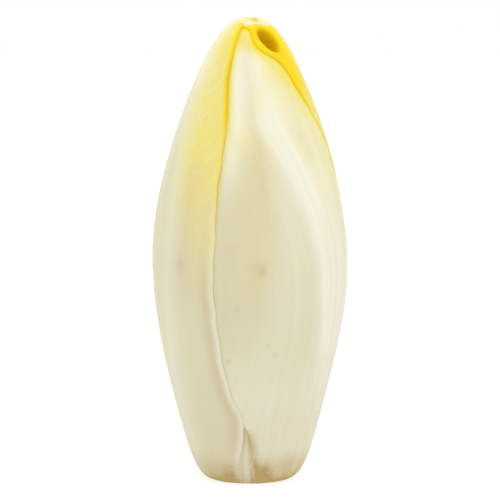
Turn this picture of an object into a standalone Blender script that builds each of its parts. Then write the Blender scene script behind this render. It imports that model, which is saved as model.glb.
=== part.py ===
"""A belgian endive, also called witloof chicory: one head of leaves on its short root stem.

The head stands on its trimmed root end. The axis is +Z, the cut lies on z = 0, and -Y is the front.
Every leaf is a layer of one stack. The outer form of the head is a turned profile, and a leaf lies
as deep below it as the leaves that cover it are thick, so leaves lap like tiles and never cross.
Lengths are in millimetres and angles in degrees, from the front (-Y) towards the right (+X).
"""

import math

import bpy
import numpy as np

MM = 0.001

# The head: its length, and its radius against height.
LENGTH = 140.0
PROFILE = ((0.0, 14.9), (3.5, 16.6), (17.0, 21.3), (38.0, 26.3), (62.0, 29.8),
           (84.0, 27.9), (108.0, 21.4), (126.0, 14.3), (135.0, 8.9))
PROFILE_DEGREE = 6
CUT_ROUNDING = 0.9
CUT_ROUNDING_HEIGHT = 1.2

# Layers shrink towards the axis, and near the tip towards a centre that lies below the surface.
TIP_CENTRE_START = 92.0
TIP_CENTRE_LAG = 18.0

# What all leaves share: the skin is the depth of the outer face between its ribs.
SKIN = 0.3
EDGE_THICKNESS = 0.8
BASE_THICKNESS_SHARE = 0.4
BASE_THICKENING_HEIGHT = 32.0
TIP_THICKNESS_SHARE = 0.06
TIP_THINNING_FROM = 0.22
TIP_THINNING_OVER = 0.72
FOOT_HEIGHT = 3.0

# The space between leaves, which is wider near the tip, and how far a leaf's edge is felt below it.
GAP = 0.35
TIP_LOOSENESS = 1.0
TIP_LOOSE_FROM = 112.0
TIP_LOOSE_OVER = 16.0
STEP_WIDTH = 4.5

# Margins of the three outer leaves: (height on the head, angle) from the cut to the leaf's tip.
LEFT_LEAF_THICKNESS = 3.6
LEFT_LEAF_EXTRA_GAP = 0.0
LEFT_LEAF_LEFT = ((0.0, -138.0), (20.0, -155.0), (60.0, -166.0), (100.0, -170.0), (126.0, -158.0),
                  (136.0, -140.0), (138.1, -114.0))
LEFT_LEAF_RIGHT = ((0.0, -12.2), (9.9, -7.9), (16.5, -5.2), (19.0, -5.0), (25.2, -10.4), (31.7, -14.5),
                   (38.2, -17.2), (45.5, -19.3), (53.0, -20.6), (63.0, -21.0), (75.0, -20.9), (87.0, -20.7),
                   (98.0, -19.8), (109.0, -19.7), (117.5, -22.0), (127.1, -24.2), (133.5, -22.6),
                   (135.8, -21.0), (137.3, -16.4), (138.1, -30.0))
BACK_LEAF_THICKNESS = 3.4
BACK_LEAF_EXTRA_GAP = 0.25
BACK_LEAF_LEFT = ((0.0, 98.0), (60.0, 99.0), (86.0, 92.0), (98.0, 86.0), (106.5, 75.5), (112.0, 65.5),
                  (117.5, 56.0), (121.0, 50.0), (124.2, 44.5), (126.6, 37.0), (128.6, 23.4), (130.7, 10.8),
                  (132.7, 4.9), (135.4, 0.6), (136.4, -6.0), (137.2, -16.0), (138.4, -70.0), (139.7, -10.0))
BACK_LEAF_RIGHT = ((0.0, 219.0), (20.0, 212.0), (60.0, 206.0), (100.0, 202.0), (126.0, 205.0), (136.0, 212.0),
                   (138.4, 190.0), (139.7, 100.0))
FRONT_LEAF_THICKNESS = 3.2
FRONT_LEAF_EXTRA_GAP = 0.35
FRONT_LEAF_LEFT = ((0.0, 7.6), (10.6, 1.4), (17.0, -1.9), (19.0, -4.5), (22.0, -14.0), (26.0, -26.0),
                   (34.0, -42.0), (60.0, -58.0), (100.0, -64.0), (126.0, -66.0), (134.0, -60.0),
                   (137.6, -40.0))
FRONT_LEAF_RIGHT = ((0.0, 95.5), (8.0, 103.0), (20.0, 108.0), (60.0, 112.0), (100.0, 108.0), (126.0, 92.0),
                    (134.0, 60.0), (137.6, -8.0))

# Ribs and grooves on the outer leaves: (path as (height, angle), height above the skin, half width).
RIB_FADE = 12.0
LEFT_LEAF_RIBS = (
    (((0.0, -62.0), (40.0, -58.0), (66.0, -53.0), (84.0, -50.0), (110.0, -52.0), (134.0, -58.0)), 0.30, 3.4),
    (((0.0, -15.5), (9.9, -10.9), (19.0, -7.6), (25.2, -12.6), (31.7, -16.5), (45.5, -21.2), (63.0, -23.2),
      (99.0, -21.4), (117.5, -25.0), (134.0, -27.0)), 0.28, 0.9),
    (((0.0, -84.0), (60.0, -92.0), (134.0, -84.0)), 0.22, 2.6),
    (((0.0, -112.0), (60.0, -128.0), (134.0, -112.0)), 0.26, 3.0),
)
BACK_LEAF_RIBS = (
    (((0.0, 112.0), (60.0, 111.0), (100.0, 92.0), (134.0, 60.0)), 0.24, 2.4),
    (((0.0, 134.0), (60.0, 132.0), (134.0, 110.0)), 0.22, 2.6),
    (((0.0, 158.0), (60.0, 154.0), (134.0, 140.0)), 0.30, 3.4),
    (((0.0, 184.0), (60.0, 178.0), (134.0, 164.0)), 0.24, 2.6),
)
FRONT_LEAF_RIBS = (
    (((0.0, 56.0), (36.0, 55.0), (60.0, 53.0), (75.8, 48.5), (89.2, 40.0), (100.4, 30.0), (108.3, 20.0),
      (134.0, 8.0)), 0.30, 1.8),
    (((0.0, 24.0), (36.0, 14.0), (66.0, 12.5), (84.0, 10.0), (99.0, 6.0), (134.0, -8.0)), -0.22, 1.4),
    (((15.0, -1.0), (30.0, -10.0), (60.0, -16.0), (99.0, -14.5), (120.0, -15.5), (134.0, -20.0)), 0.26, 1.6),
    (((0.0, 74.0), (60.0, 76.0), (134.0, 60.0)), 0.24, 2.2),
)

# The hollow in the back leaf's folded tip: place, half sizes, slant of its long way down to the right,
# depth, and how far out its rim lies.
FOLD_ANGLE = 33.0
FOLD_HEIGHT = 132.8
FOLD_HALF_WIDTH = 2.4
FOLD_HALF_LENGTH = 4.1
FOLD_SLANT = 62.0
FOLD_DEPTH = 1.5
FOLD_RIM = 1.25

# Inner leaves: each starts higher on the stem, ends lower and stands a spiral step further round.
INNER_LEAVES = 9
INNER_FIRST_ANGLE = -127.5
SPIRAL = -135.0
INNER_FIRST_BASE = 4.6
INNER_BASE_STEP = 3.4
INNER_FIRST_TIP = 138.9
INNER_TIP_STEP = -1.0
INNER_HALF_ANGLE = 82.5
INNER_THICKNESS = 4.6
INNER_THICKNESS_STEP = -0.13
INNER_EXTRA_GAP = 0.6
INNER_STEP_WIDTH = 7.0
INNER_OUTLINE = ((0.0, 0.80), (0.2, 1.0), (0.6, 1.0), (0.86, 1.0), (0.95, 0.86), (1.0, 0.40))

# The root stem: a cone with a flare at the cut, and a blunt top: (height, how far the top is rounded in).
STEM_RADIUS = 8.7
STEM_TAPER = 0.17
STEM_FLARE = 1.3
STEM_FLARE_HEIGHT = 2.6
STEM_ROWS = ((0.0, 0.0), (1.5, 0.0), (3.0, 0.0), (5.0, 0.0), (14.0, 0.0), (24.0, 0.0), (32.0, 0.2),
             (36.5, 0.9), (39.0, 2.4))
STEM_SIDES = 28

# The heart bud above the stem. Girths are shares of the full one, and swell and taper of its length.
HEART_BOTTOM = 39.6
HEART_TOP = 113.0
HEART_CLEARANCE = 0.5
HEART_BOTTOM_GIRTH = 0.35
HEART_TOP_FULLNESS = 0.2
HEART_SWELL = 0.3
HEART_TAPER = 0.4
HEART_FOLDS = 5
HEART_FOLD_TWIST = 150.0
HEART_FOLD_DEPTH = 0.8
HEART_CAP = 0.4
HEART_SIDES = 24
HEART_ROWS = 12

# The foot of a leaf that was broken off, in the opening between two leaf bases.
STUB_CLEARANCE = 1.0
STUB_HEIGHT = 15.5
STUB_DEPTH = 0.6
STUB_LEAN = 0.4
STUB_THICKNESS = 1.7
STUB_TOP_THICKNESS = 0.75
STUB_COLUMNS = 4
STUB_ROWS = 8

# Mesh fineness: quads across a leaf, rows up the head, extra rows of the outer leaves where the opening
# at the base closes, and how much closer rows are at the tip.
OUTER_COLUMNS = 18
INNER_COLUMNS = 11
HEAD_ROWS = 22
OPENING_ROWS = (7.0, 13.0, 16.5, 19.0, 22.0)
ROW_CROWDING = 1.45
NEAR_BASE = 0.15
NEAR_TIP = 0.25
CURVE_SAMPLES = 2000
SLOPE_STEP = 0.5
SHARP_EDGE_ANGLE = 50.0

IVORY = (0.83, 0.78, 0.57, 1.0)
PALE_YELLOW = (0.90, 0.83, 0.42, 1.0)
STEM_WHITE = (0.74, 0.66, 0.45, 1.0)
SKIN_ROUGHNESS = 0.42


def clear_scene():
    for obj in list(bpy.data.objects):
        bpy.data.objects.remove(obj, do_unlink=True)


def smoothstep(x):
    x = np.clip(x, 0.0, 1.0)
    return x * x * (3.0 - 2.0 * x)


def profile_polynomial():
    """Radius squared over the height left to the tip is smooth, so a low polynomial follows it."""
    heights, radii = np.array(PROFILE).T
    return np.polyfit(heights / LENGTH, radii ** 2 / (LENGTH - heights), PROFILE_DEGREE)


PROFILE_POLYNOMIAL = profile_polynomial()


def head_radius(z):
    """Radius of the head's outer form at height z."""
    z = np.asarray(z, float)
    squared = np.polyval(PROFILE_POLYNOMIAL, z / LENGTH) * (LENGTH - z)
    return np.sqrt(np.maximum(squared, 0.0)) - CUT_ROUNDING * np.exp(-z / CUT_ROUNDING_HEIGHT)


def centre_height(z):
    """Height of the point on the axis that layers at height z shrink towards."""
    rise = np.clip((np.asarray(z, float) - TIP_CENTRE_START) / (LENGTH - TIP_CENTRE_START), 0.0, 1.0)
    return z - TIP_CENTRE_LAG * rise ** 2


def path_slopes(heights, angles):
    """Slopes for a smooth path that doesn't swing past its points: harmonic means of the secants."""
    secants = np.diff(angles) / np.diff(heights)
    below = secants[:-1]
    above = secants[1:]
    same_way = below * above > 0.0
    total = np.where(same_way, below + above, 1.0)
    inside = np.where(same_way, 2.0 * below * above / total, 0.0)
    return np.concatenate([secants[:1], inside, secants[-1:]])


def run_per_height(z):
    """Length of the head's curve per unit of height."""
    low = head_radius(np.maximum(z - SLOPE_STEP, 0.0))
    high = head_radius(np.minimum(z + SLOPE_STEP, LENGTH))
    return np.hypot(1.0, (high - low) / (2.0 * SLOPE_STEP))


def along_path(points, z):
    """Angle at height z on a path through points (height, angle), as a smooth cubic."""
    heights, angles = np.array(points).T
    slopes = path_slopes(heights, angles)
    z = np.clip(z, heights[0], heights[-1])
    i = np.clip(np.searchsorted(heights, z, side="right") - 1, 0, len(heights) - 2)
    span = heights[i + 1] - heights[i]
    t = (z - heights[i]) / span
    start = angles[i] + slopes[i] * span * t
    end = angles[i + 1] - slopes[i + 1] * span * (1.0 - t)
    return start + (end - start) * smoothstep(t)


def turn_between(angle, other):
    """Signed turn from one angle to another, between -180 and 180."""
    return (np.asarray(angle) - other + 180.0) % 360.0 - 180.0


class Leaf:
    """One leaf as a patch of the head: its margins, its two ends, its thickness and its ribs."""

    def __init__(self, name, left, right, thickness, ribs=(), extra_gap=0.0, step_width=STEP_WIDTH):
        self.name = name
        self.left = left
        self.right = right
        self.base = left[0][0]
        self.tip = left[-1][0]
        self.thickness = thickness
        self.ribs = ribs
        self.gap = GAP + extra_gap
        self.step_width = step_width

    def middle_and_half(self, z):
        left = along_path(self.left, z)
        right = along_path(self.right, z)
        return (left + right) / 2.0, (right - left) / 2.0

    def thick(self, angle, z):
        """Thickness: full along the middle, thin at the margins, at the tip and, less so, at the base."""
        middle, half = self.middle_and_half(z)
        u = np.clip(np.abs(turn_between(angle, middle)) / half, 0.0, 1.0)
        up = np.clip((z - self.base) / (self.tip - self.base), 0.0, 1.0)
        from_base = smoothstep((z - self.base) / BASE_THICKENING_HEIGHT)
        base = BASE_THICKNESS_SHARE + (1.0 - BASE_THICKNESS_SHARE) * from_base
        tip = 1.0 - (1.0 - TIP_THICKNESS_SHARE) * smoothstep((up - TIP_THINNING_FROM) / TIP_THINNING_OVER)
        return EDGE_THICKNESS + (self.thickness - EDGE_THICKNESS) * base * tip * (1.0 - u ** 2)

    def room(self, angle, z):
        """Depth that this leaf takes from the leaves below it, fading out just beyond its margins."""
        middle, half = self.middle_and_half(z)
        inside = head_radius(z) * np.radians(half - np.abs(turn_between(angle, middle)))
        above_base = z - self.base if self.base > 0.0 else np.full_like(z, LENGTH)
        below_tip = (self.tip - z) * run_per_height(z)
        reach = np.minimum(inside, np.minimum(above_base, below_tip))
        gap = self.gap * (1.0 + TIP_LOOSENESS * smoothstep((z - TIP_LOOSE_FROM) / TIP_LOOSE_OVER))
        return (SKIN + self.thick(angle, z) + gap) * smoothstep(1.0 + reach / self.step_width)

    def rib_height(self, angle, z):
        """Ribs and grooves of the outer face, as height above the skin."""
        total = np.zeros_like(z)
        for path, height, half_width in self.ribs:
            away = head_radius(z) * np.radians(turn_between(angle, along_path(path, z)))
            ends = smoothstep((z - path[0][0]) / RIB_FADE) * smoothstep((path[-1][0] - z) / RIB_FADE)
            total = total + height * ends * np.exp(-(away / half_width) ** 2)
        return np.clip(total, -SKIN, SKIN)


def outer_leaves():
    return [
        Leaf("outer_leaf_left", LEFT_LEAF_LEFT, LEFT_LEAF_RIGHT, LEFT_LEAF_THICKNESS, LEFT_LEAF_RIBS,
             LEFT_LEAF_EXTRA_GAP),
        Leaf("outer_leaf_back", BACK_LEAF_LEFT, BACK_LEAF_RIGHT, BACK_LEAF_THICKNESS, BACK_LEAF_RIBS,
             BACK_LEAF_EXTRA_GAP),
        Leaf("outer_leaf_front", FRONT_LEAF_LEFT, FRONT_LEAF_RIGHT, FRONT_LEAF_THICKNESS, FRONT_LEAF_RIBS,
             FRONT_LEAF_EXTRA_GAP),
    ]


def inner_leaf(number):
    base = INNER_FIRST_BASE + INNER_BASE_STEP * number
    tip = INNER_FIRST_TIP + INNER_TIP_STEP * number
    middle = INNER_FIRST_ANGLE + SPIRAL * number
    outline = [(base + up * (tip - base), INNER_HALF_ANGLE * width) for up, width in INNER_OUTLINE]
    left = [(height, middle - half) for height, half in outline]
    right = [(height, middle + half) for height, half in outline]
    thickness = INNER_THICKNESS + INNER_THICKNESS_STEP * number
    return Leaf(f"inner_leaf_{number + 1}", left, right, thickness, extra_gap=INNER_EXTRA_GAP,
                step_width=INNER_STEP_WIDTH)


def fold_depth(angle, z):
    """The hollow in the back leaf's tip, which everything from that leaf inwards follows."""
    across = head_radius(z) * np.radians(turn_between(angle, FOLD_ANGLE))
    up = (z - FOLD_HEIGHT) * run_per_height(FOLD_HEIGHT)
    slant = math.radians(FOLD_SLANT)
    long_way = across * math.cos(slant) - up * math.sin(slant)
    short_way = across * math.sin(slant) + up * math.cos(slant)
    distance = np.hypot(long_way / FOLD_HALF_LENGTH, short_way / FOLD_HALF_WIDTH)
    return FOLD_DEPTH * smoothstep(FOLD_RIM - distance)


def depth_below(leaves, angle, z):
    """Depth of a surface that lies below all of these leaves."""
    total = np.zeros(np.broadcast(angle, z).shape)
    for leaf in leaves:
        total = total + leaf.room(angle, z)
    if leaves:
        total = total + fold_depth(angle, z)
    return total


def place(angle, z, depth):
    """A point of the head at an angle and height, sunk by depth towards the head's own centre line."""
    radius = head_radius(z)
    centre = centre_height(z)
    left = 1.0 - depth / np.hypot(radius, z - centre)
    turn = np.radians(angle)
    return np.stack([radius * left * np.sin(turn), -radius * left * np.cos(turn),
                     centre + (z - centre) * left], axis=-1)


def stem_radius(z):
    """Radius of the root stem: a cone that flares at the cut."""
    z = np.asarray(z, float)
    return STEM_RADIUS - STEM_TAPER * z + STEM_FLARE * np.exp(-(z / STEM_FLARE_HEIGHT) ** 2)


def head_rows():
    """Heights of the rows that all leaves share: even along the head's curve, but closer to the tip."""
    z = LENGTH * (1.0 - np.linspace(1.0, 0.0, CURVE_SAMPLES) ** 2)
    run = np.concatenate([[0.0], np.cumsum(np.hypot(np.diff(z), np.diff(head_radius(z))))])
    share = 1.0 - (1.0 - np.linspace(0.0, 1.0, HEAD_ROWS + 1)) ** ROW_CROWDING
    return np.interp(share * run[-1], run, z)


def leaf_rows(leaf):
    """Heights of one leaf's rows: its base, the top of its foot, shared rows, and its tip.

    A leaf that reaches down to the cut has the opening's rows too.
    """
    shared = head_rows()
    if leaf.base == 0.0:
        shared = np.sort(np.concatenate([shared, OPENING_ROWS]))
    spacing = np.gradient(shared)
    low = leaf.base + FOOT_HEIGHT
    kept = shared[(shared > low + NEAR_BASE * spacing) & (shared < leaf.tip - NEAR_TIP * spacing)]
    return np.concatenate([[leaf.base, low], kept, [leaf.tip]])


def leaf_faces(columns, rows):
    """Faces of a closed leaf: outer grid, inner grid, and the strip that joins them all round."""
    wide = columns + 1
    inner = wide * (rows + 1)
    faces = []
    for j in range(rows):
        for i in range(columns):
            a = j * wide + i
            b = a + 1
            c = b + wide
            d = a + wide
            faces += [(a, b, c), (a, c, d)]
            faces += [(c + inner, b + inner, a + inner), (d + inner, c + inner, a + inner)]
    rim = list(range(wide))
    rim += [j * wide + columns for j in range(1, rows + 1)]
    rim += [rows * wide + i for i in range(columns - 1, -1, -1)]
    rim += [j * wide for j in range(rows - 1, 0, -1)]
    for a, b in zip(rim, rim[1:] + rim[:1]):
        faces += [(b, a, a + inner), (b, a + inner, b + inner)]
    return faces


def build_leaf(leaf, covering, columns, footed):
    """A closed leaf, laid below the leaves that cover it. A footed leaf reaches the stem at its base."""
    z = leaf_rows(leaf)[:, None]
    rows = len(z) - 1
    u = np.linspace(-1.0, 1.0, columns + 1)[None, :]
    middle, half = leaf.middle_and_half(z)
    angle = middle + half * u
    z = np.broadcast_to(z, angle.shape)
    skin_depth = depth_below(covering, angle, z) + SKIN
    inner_depth = skin_depth + leaf.thick(angle, z)
    if footed:
        to_stem = head_radius(leaf.base) - stem_radius(leaf.base) - GAP
        inner_depth[0] = np.maximum(inner_depth[0], to_stem)
    points = np.concatenate([place(angle, z, skin_depth - leaf.rib_height(angle, z)).reshape(-1, 3),
                             place(angle, z, inner_depth).reshape(-1, 3)])
    return add_object(leaf.name, points, leaf_faces(columns, rows))


def turned_faces(around, rows):
    """Faces of a closed turned body: rings of points, with a point below and a point above them."""
    faces = []
    for j in range(rows - 1):
        for i in range(around):
            a = j * around + i
            b = j * around + (i + 1) % around
            faces.append((a, b, b + around, a + around))
    bottom = around * rows
    last = around * (rows - 1)
    for i in range(around):
        k = (i + 1) % around
        faces.append((k, i, bottom))
        faces.append((last + i, last + k, bottom + 1))
    return faces


def build_stem():
    """The root stem: a blunt cone with the trimmed cut as its flat foot."""
    z, rounding = np.array(STEM_ROWS).T
    radius = stem_radius(z) - rounding
    turn = np.linspace(0.0, 2.0 * math.pi, STEM_SIDES, endpoint=False)
    rings = np.stack([np.outer(radius, np.sin(turn)), -np.outer(radius, np.cos(turn)),
                      np.outer(z, np.ones(STEM_SIDES))], axis=-1).reshape(-1, 3)
    ends = [[0.0, 0.0, z[0]], [0.0, 0.0, z[-1]]]
    return add_object("root_stem", np.concatenate([rings, ends]), turned_faces(STEM_SIDES, len(z)))


def build_heart(leaves):
    """The bud of smallest leaves above the stem, whose rolled edges show as spiral folds."""
    share = 1.0 - (1.0 - np.linspace(0.0, 1.0, HEART_ROWS + 1)[:, None]) ** ROW_CROWDING
    angle = np.linspace(0.0, 360.0, HEART_SIDES, endpoint=False)[None, :]
    share, angle = np.broadcast_arrays(share, angle)
    z = HEART_BOTTOM + (HEART_TOP - HEART_BOTTOM) * share
    swell = smoothstep(share / HEART_SWELL) * smoothstep((1.0 - share) / HEART_TAPER + HEART_TOP_FULLNESS)
    girth = HEART_BOTTOM_GIRTH + (1.0 - HEART_BOTTOM_GIRTH) * swell
    fold = np.sin(np.radians(HEART_FOLDS * angle + HEART_FOLD_TWIST * share)) - 1.0
    free = place(angle, z, depth_below(leaves, angle, z) + HEART_CLEARANCE)
    radius = (np.hypot(free[..., 0], free[..., 1]) + HEART_FOLD_DEPTH / 2.0 * fold) * girth
    turn = np.radians(angle)
    rings = np.stack([radius * np.sin(turn), -radius * np.cos(turn), free[..., 2]], axis=-1)
    ends = [[0.0, 0.0, HEART_BOTTOM], [0.0, 0.0, rings[-1, :, 2].max() + HEART_CAP]]
    faces = turned_faces(HEART_SIDES, HEART_ROWS + 1)
    return add_object("heart_bud", np.concatenate([rings.reshape(-1, 3), ends]), faces)


def build_stub():
    """The foot of a leaf that was broken off: a low wedge in the opening between two leaf bases."""
    z = np.linspace(0.0, STUB_HEIGHT, STUB_ROWS + 1)[:, None]
    left = along_path(LEFT_LEAF_RIGHT, z) + STUB_CLEARANCE
    right = along_path(FRONT_LEAF_LEFT, z) - STUB_CLEARANCE
    angle = left + (right - left) * np.linspace(0.0, 1.0, STUB_COLUMNS + 1)[None, :]
    z = np.broadcast_to(z, angle.shape)
    up = z / STUB_HEIGHT
    depth = STUB_DEPTH + STUB_LEAN * up
    inner_depth = depth + STUB_THICKNESS + (STUB_TOP_THICKNESS - STUB_THICKNESS) * up
    points = np.concatenate([place(angle, z, depth).reshape(-1, 3),
                             place(angle, z, inner_depth).reshape(-1, 3)])
    return add_object("broken_leaf_foot", points, leaf_faces(STUB_COLUMNS, STUB_ROWS))


def add_object(name, points, faces):
    mesh = bpy.data.meshes.new(name)
    mesh.from_pydata((points * MM).tolist(), [], faces)
    mesh.validate()
    mesh.shade_smooth()
    mesh.set_sharp_from_angle(angle=math.radians(SHARP_EDGE_ANGLE))
    obj = bpy.data.objects.new(name, mesh)
    bpy.context.scene.collection.objects.link(obj)
    return obj


def add_material(name, colour, objects):
    material = bpy.data.materials.new(name)
    material.use_nodes = True
    shader = material.node_tree.nodes["Principled BSDF"]
    shader.inputs["Base Color"].default_value = colour
    shader.inputs["Roughness"].default_value = SKIN_ROUGHNESS
    shader.inputs["Metallic"].default_value = 0.0
    for obj in objects:
        obj.data.materials.append(material)


def main():
    clear_scene()
    outer = outer_leaves()
    leaves = outer + [inner_leaf(number) for number in range(INNER_LEAVES)]
    outer_objects = []
    inner_objects = []
    for i, leaf in enumerate(leaves):
        if leaf in outer:
            outer_objects.append(build_leaf(leaf, leaves[:i], OUTER_COLUMNS, leaf is outer[-1]))
        else:
            inner_objects.append(build_leaf(leaf, leaves[:i], INNER_COLUMNS, True))
    stem = build_stem()
    heart = build_heart(leaves)
    stub = build_stub()
    add_material("leaf_ivory", IVORY, outer_objects + [stub])
    add_material("leaf_yellow", PALE_YELLOW, inner_objects + [heart])
    add_material("stem_white", STEM_WHITE, [stem])


main()
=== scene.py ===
"""The looks of a belgian endive: finer leaves, skin, veins, stains, studio light and camera.

The leaves repeat the part's own form with more rows and columns, rounded margins and lips.
Lengths are in millimetres and angles in degrees, from the front (-Y) towards the right (+X).
"""

import math

import bpy
import numpy as np
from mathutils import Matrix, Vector


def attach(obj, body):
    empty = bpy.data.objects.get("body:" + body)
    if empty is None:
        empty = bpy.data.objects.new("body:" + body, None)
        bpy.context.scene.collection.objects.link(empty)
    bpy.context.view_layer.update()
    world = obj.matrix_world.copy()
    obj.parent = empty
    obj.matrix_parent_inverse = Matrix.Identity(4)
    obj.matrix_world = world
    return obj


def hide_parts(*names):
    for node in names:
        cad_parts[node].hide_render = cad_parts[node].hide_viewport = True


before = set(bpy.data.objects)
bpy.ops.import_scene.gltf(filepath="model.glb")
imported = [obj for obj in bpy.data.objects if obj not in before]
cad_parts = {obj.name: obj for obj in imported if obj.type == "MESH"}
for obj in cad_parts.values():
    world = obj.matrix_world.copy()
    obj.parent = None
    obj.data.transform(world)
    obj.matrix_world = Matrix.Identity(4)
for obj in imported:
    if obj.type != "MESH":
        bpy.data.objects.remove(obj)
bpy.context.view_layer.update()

MM = 0.001

# The head, as in the part: its length, and its radius against height.
LENGTH = 140.0
PROFILE = ((0.0, 14.9), (3.5, 16.6), (17.0, 21.3), (38.0, 26.3), (62.0, 29.8),
           (84.0, 27.9), (108.0, 21.4), (126.0, 14.3), (135.0, 8.9))
PROFILE_DEGREE = 6
CUT_ROUNDING = 0.9
CUT_ROUNDING_HEIGHT = 1.2
TIP_CENTRE_START = 92.0
TIP_CENTRE_LAG = 18.0

# What all leaves share, as in the part.
SKIN = 0.3
EDGE_THICKNESS = 0.8
BASE_THICKNESS_SHARE = 0.4
BASE_THICKENING_HEIGHT = 32.0
TIP_THICKNESS_SHARE = 0.06
TIP_THINNING_FROM = 0.22
TIP_THINNING_OVER = 0.72
FOOT_HEIGHT = 3.0
GAP = 0.35
TIP_LOOSENESS = 1.0
TIP_LOOSE_FROM = 112.0
TIP_LOOSE_OVER = 16.0
SLOPE_STEP = 0.5
CURVE_SAMPLES = 2000

# How far beyond a margin the leaf below comes up again.
OUTER_STEP_WIDTH = 4.5
INNER_STEP_WIDTH = 7.0

# The outer leaves here hug each other closer than the solids: near a margin the leaf is thinner, the
# space below it is smaller, and the leaf below comes up sooner.
HUG_REACH = 5.0
HUG_THINNING = 0.6
HUG_CLOSENESS = 0.28
HUG_STEP_WIDTH = 2.2

# Margins of the three outer leaves: (height, angle) from the cut to the leaf's tip. They are the part's
# own, but for the back leaf's end, which is a hood here, the left leaf's last few millimetres, and the
# places beside the cut where a lower leaf reaches further under the upper one.
LEFT_LEAF_THICKNESS = 3.6
LEFT_LEAF_EXTRA_GAP = 0.0
LEFT_LEAF_LEFT = (
    (0, -138), (20, -155), (60, -166), (100, -170), (126, -158), (136, -140), (138.1, -114),
)
LEFT_LEAF_RIGHT = (
    (0, -12.2), (9.9, -7.9), (16.5, -5.2), (19, -5), (25.2, -10.4), (31.7, -14.5), (38.2, -17.2),
    (45.5, -19.3), (53, -20.6), (63, -21), (75, -20.9), (87, -20.7), (98, -19.8), (109, -19.7),
    (117.5, -22), (127.1, -24.2), (133.5, -22.6), (135.8, -21), (136.6, -16), (137.3, -3), (138.1, 20),
)
BACK_LEAF_THICKNESS = 3.4
BACK_LEAF_EXTRA_GAP = 0.25
BACK_LEAF_LEFT = (
    (0, 98), (60, 99), (86, 92), (98, 86), (106.5, 75.5), (112, 65.5), (117.5, 56), (121, 50),
    (124.2, 44.5), (126.6, 37), (128.6, 23.4), (130.7, 10.8), (132.7, 4.9), (135.4, 0.6), (136.3, -6),
    (136.9, -18), (137.4, -70), (137.7, -92), (139.995, -92),
)
BACK_LEAF_RIGHT = (
    (0, 227), (20, 213), (60, 206), (100, 202), (126, 207), (134, 216), (136, 227), (137, 240),
    (137.4, 258), (137.7, 267), (139.995, 267),
)
FRONT_LEAF_THICKNESS = 3.2
FRONT_LEAF_EXTRA_GAP = 0.35
FRONT_LEAF_LEFT = (
    (0, 7.6), (10.6, 1.4), (17, -1.9), (19, -4.5), (22, -14), (26, -26), (34, -42), (60, -58),
    (100, -64), (126, -66), (134, -60), (137.6, -40),
)
FRONT_LEAF_RIGHT = (
    (0, 102), (8, 104), (20, 108), (60, 112), (100, 108), (126, 92), (134, 60), (137.6, -8),
)

# Ribs and grooves: (path as (height, angle), height above the skin, half width). They are as in the part,
# but for the front leaf's first one, its ridge, which is lower and wider here.
RIB_FADE = 12.0
LEFT_LEAF_RIBS = (
    (((0, -62), (40, -58), (66, -53), (84, -50), (110, -52), (134, -58)), 0.30, 3.4),
    (((0, -15.5), (9.9, -10.9), (19, -7.6), (25.2, -12.6), (31.7, -16.5), (45.5, -21.2), (63, -23.2),
      (99, -21.4), (117.5, -25), (134, -27)), 0.28, 0.9),
    (((0, -84), (60, -92), (134, -84)), 0.22, 2.6),
    (((0, -112), (60, -128), (134, -112)), 0.26, 3),
)
BACK_LEAF_RIBS = (
    (((0, 112), (60, 111), (100, 92), (134, 60)), 0.24, 2.4),
    (((0, 134), (60, 132), (134, 110)), 0.22, 2.6),
    (((0, 158), (60, 154), (134, 140)), 0.30, 3.4),
    (((0, 184), (60, 178), (134, 164)), 0.24, 2.6),
)
FRONT_LEAF_RIBS = (
    (((0, 56), (36, 55), (60, 53), (75.8, 48.5), (89.2, 40), (100.4, 30), (108.3, 20), (134, 8)), 0.24, 2.8),
    (((0, 24), (36, 14), (66, 12.5), (84, 10), (99, 6), (134, -8)), -0.22, 1.4),
    (((15, -1), (30, -10), (60, -16), (99, -14.5), (120, -15.5), (134, -20)), 0.26, 1.6),
    (((0, 74), (60, 76), (134, 60)), 0.24, 2.2),
)

# The hollow in the back leaf's folded tip, as in the part, but deeper and with a narrower rim.
FOLD_ANGLE = 33.0
FOLD_HEIGHT = 132.8
FOLD_HALF_WIDTH = 2.4
FOLD_HALF_LENGTH = 4.1
FOLD_SLANT = 62.0
FOLD_DEPTH = 1.5
FOLD_RIM = 1.2
FOLD_WALL = 0.45
FOLD_EXTRA_DEPTH = 1.6
FOLD_EXTRA_FADE = 16.0

# Inner leaves, as in the part.
INNER_LEAVES = 9
INNER_FIRST_ANGLE = -127.5
SPIRAL = -135.0
INNER_FIRST_BASE = 4.6
INNER_BASE_STEP = 3.4
INNER_FIRST_TIP = 138.9
INNER_TIP_STEP = -1.0
INNER_HALF_ANGLE = 82.5
INNER_THICKNESS = 4.6
INNER_THICKNESS_STEP = -0.13
INNER_EXTRA_GAP = 0.6
INNER_OUTLINE = ((0.0, 0.80), (0.2, 1.0), (0.6, 1.0), (0.86, 1.0), (0.95, 0.86), (1.0, 0.40))

# The root stem, as in the part, with a finer foot.
STEM_RADIUS = 8.7
STEM_TAPER = 0.17
STEM_FLARE = 1.3
STEM_FLARE_HEIGHT = 2.6
STEM_HEIGHT = 39.0
STEM_ROUND_TOP = 9.0
STEM_ROUND_DEPTH = 2.4
STEM_SIDES = 120
STEM_ROWS = 60
CUT_RINGS = 18
CUT_RIM = 0.25
CUT_MIDDLE = 0.06
CUT_HOLLOW = 0.12
CUT_HOLLOW_POWER = 6
CUT_WAVE_SHARE = 0.4
CUT_WAVES = 21.0

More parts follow.
